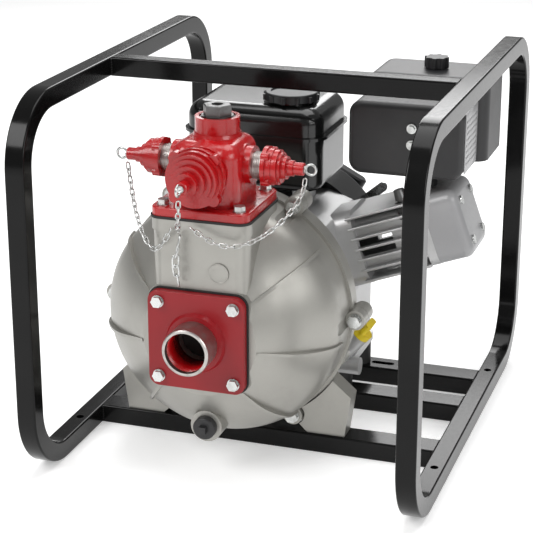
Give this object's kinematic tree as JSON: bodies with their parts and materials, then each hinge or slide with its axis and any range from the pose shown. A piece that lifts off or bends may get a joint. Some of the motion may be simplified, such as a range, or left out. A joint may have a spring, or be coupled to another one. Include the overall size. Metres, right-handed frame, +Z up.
{
  "type": "portable fire pump",
  "caption": "Engine-driven self-priming fire pump in a tubular carrying frame, with a threaded suction inlet and a capped three-way discharge manifold.",
  "frame": {"origin": "centre of the carrying frame's footprint, on the ground it stands on", "axes": "+Z up, -Y towards the suction inlet, +X towards the engine's cylinder side, pump shaft along Y"},
  "size_m": [0.5156, 0.6524, 0.4976],
  "materials": {
    "frame_enamel": "semi-gloss black enamel",
    "cast_aluminium": "satin sand-cast",
    "red_enamel": "gloss red enamel on rough casting",
    "red_plate": "satin red enamel on machined steel",
    "zinc": "bright zinc plate",
    "bare_steel": "turned bare steel",
    "black_rubber": "matte",
    "black_plastic": "fine textured",
    "gloss_black": "gloss black enamel",
    "muffler_black": "matte heat-resistant black",
    "grey_paint": "satin grey",
    "engine_aluminium": "die-cast, slightly dull",
    "cast_iron": "as cast",
    "yellow_plastic": "moulded",
    "red_plastic": "moulded",
    "steel_dark": "oiled"
  },
  "bodies": {
    "unit": {"left_hoop": "frame_enamel", "right_hoop": "frame_enamel", "top_crossbar": "frame_enamel", "front_rail": "frame_enamel", "middle_rail": "frame_enamel", "rear_rail": "frame_enamel", "rubber_mounts": "black_rubber", "mount_bolts": "zinc", "front_casing": "cast_aluminium", "rear_casing": "cast_aluminium", "casing_seal": "black_rubber", "casing_bolts": "zinc", "suction_flange": "red_plate", "suction_nipple": "bare_steel", "suction_gasket": "black_rubber", "suction_bolts": "zinc", "volute": "cast_iron", "shaft_seal": "steel_dark", "discharge_manifold": "red_enamel", "manifold_gasket": "black_rubber", "manifold_bolts": "zinc", "discharge_nipples": "bare_steel", "left_chain": "zinc", "right_chain": "zinc", "front_chain": "zinc", "tail_chain": "zinc", "crankcase": "engine_aluminium", "crankcase_cover": "engine_aluminium", "cylinder_head": "engine_aluminium", "valve_cover": "grey_paint", "muffler": "muffler_black", "muffler_guard": "muffler_black", "engine_screws": "zinc", "fuel_tank": "gloss_black", "air_cleaner_base": "black_plastic", "air_cleaner_cover": "black_plastic", "carburettor": "engine_aluminium", "fan_housing": "gloss_black", "recoil_cover": "gloss_black", "spark_plug": "steel_dark"},
    "rotor": {"crankshaft": "steel_dark", "flywheel": "cast_iron", "impeller": "cast_iron"},
    "valve_flap": {"valve_flap": "black_rubber"},
    "drain_plug": {"drain_plug": "black_plastic"},
    "fill_plug": {"fill_plug": "steel_dark"},
    "left_hook": {"left_cap_hook": "zinc"},
    "left_cap": {"left_cap": "red_enamel"},
    "right_hook": {"right_cap_hook": "zinc"},
    "right_cap": {"right_cap": "red_enamel"},
    "front_hook": {"front_cap_hook": "zinc"},
    "front_cap": {"front_cap": "red_enamel"},
    "fuel_cap": {"fuel_cap": "black_plastic"},
    "air_cleaner_knob": {"air_cleaner_knob": "black_plastic"},
    "starter_grip": {"starter_grip": "black_plastic"},
    "oil_filler_cap": {"oil_filler_cap": "yellow_plastic"},
    "throttle_lever": {"throttle_lever": "zinc"},
    "choke_lever": {"choke_lever": "black_plastic"},
    "engine_switch": {"engine_switch": "red_plastic"},
    "fuel_valve_lever": {"fuel_valve_lever": "zinc"}
  },
  "joints": [
    {"name": "rotor_spin", "type": "hinge", "parent": "unit", "child": "rotor", "pos_m": [-0.041, 0, 0.193], "axis": [0, 1, 0], "continuous": true},
    {"name": "flap_swing", "type": "hinge", "parent": "unit", "child": "valve_flap", "pos_m": [-0.041, -0.2337, 0.2332], "axis": [1, 0, 0], "range_deg": [0, 40]},
    {"name": "drain_turn", "type": "hinge", "parent": "unit", "child": "drain_plug", "pos_m": [-0.041, -0.226, 0.066], "axis": [0, -1, 0], "range_deg": [0, 360]},
    {"name": "fill_turn", "type": "hinge", "parent": "unit", "child": "fill_plug", "pos_m": [-0.041, -0.173, 0.462], "axis": [0, 0, 1], "range_deg": [0, 360]},
    {"name": "left_cap_travel", "type": "slide", "parent": "unit", "child": "left_hook", "axis": [-1, 0, 0], "range_m": [0, 0.00894]},
    {"name": "left_cap_turn", "type": "hinge", "parent": "left_hook", "child": "left_cap", "pos_m": [-0.041, -0.184, 0.406], "axis": [-1, 0, 0], "range_deg": [0, 1440]},
    {"name": "right_cap_travel", "type": "slide", "parent": "unit", "child": "right_hook", "axis": [1, 0, 0], "range_m": [0, 0.00894]},
    {"name": "right_cap_turn", "type": "hinge", "parent": "right_hook", "child": "right_cap", "pos_m": [-0.041, -0.184, 0.406], "axis": [1, 0, 0], "range_deg": [0, 1440]},
    {"name": "front_cap_travel", "type": "slide", "parent": "unit", "child": "front_hook", "axis": [0, -1, 0], "range_m": [0, 0.01139]},
    {"name": "front_cap_turn", "type": "hinge", "parent": "front_hook", "child": "front_cap", "pos_m": [-0.041, -0.184, 0.403], "axis": [0, -1, 0], "range_deg": [0, 1440]},
    {"name": "fuel_cap_turn", "type": "hinge", "parent": "unit", "child": "fuel_cap", "pos_m": [-0.0175, 0.053, 0.43], "axis": [0, 0, 1], "range_deg": [0, 90]},
    {"name": "knob_turn", "type": "hinge", "parent": "unit", "child": "air_cleaner_knob", "pos_m": [0.158, 0.154, 0.467], "axis": [0, 0, 1], "range_deg": [0, 360]},
    {"name": "grip_pull", "type": "slide", "parent": "unit", "child": "starter_grip", "axis": [0.2618, 0.5576, 0.7877], "range_m": [0, 0.6], "stiffness_N_per_m": 25, "springref_m": -0.4},
    {"name": "oil_cap_turn", "type": "hinge", "parent": "unit", "child": "oil_filler_cap", "pos_m": [0.072, -0.01, 0.096], "axis": [0.6606, 0, 0.7507], "range_deg": [0, 360]},
    {"name": "throttle_swing", "type": "hinge", "parent": "unit", "child": "throttle_lever", "pos_m": [0.043, 0.203, 0.249], "axis": [0, 1, 0], "range_deg": [0, 40]},
    {"name": "choke_swing", "type": "hinge", "parent": "unit", "child": "choke_lever", "pos_m": [0.158, 0.165, 0.328], "axis": [0, 1, 0], "range_deg": [0, 45]},
    {"name": "switch_turn", "type": "hinge", "parent": "unit", "child": "engine_switch", "pos_m": [-0.157, 0.16, 0.193], "axis": [-1, 0, 0], "range_deg": [0, 60]},
    {"name": "fuel_valve_swing", "type": "hinge", "parent": "unit", "child": "fuel_valve_lever", "pos_m": [0.174, 0.14, 0.29], "axis": [1, 0, 0], "range_deg": [0, 60]}
  ],
  "couplings": [
    {"joint": "left_cap_travel", "follows": "left_cap_turn", "m_per_rad": 0.00035157},
    {"joint": "right_cap_travel", "follows": "right_cap_turn", "m_per_rad": 0.00035157},
    {"joint": "front_cap_travel", "follows": "front_cap_turn", "m_per_rad": 0.00044929}
  ]
}
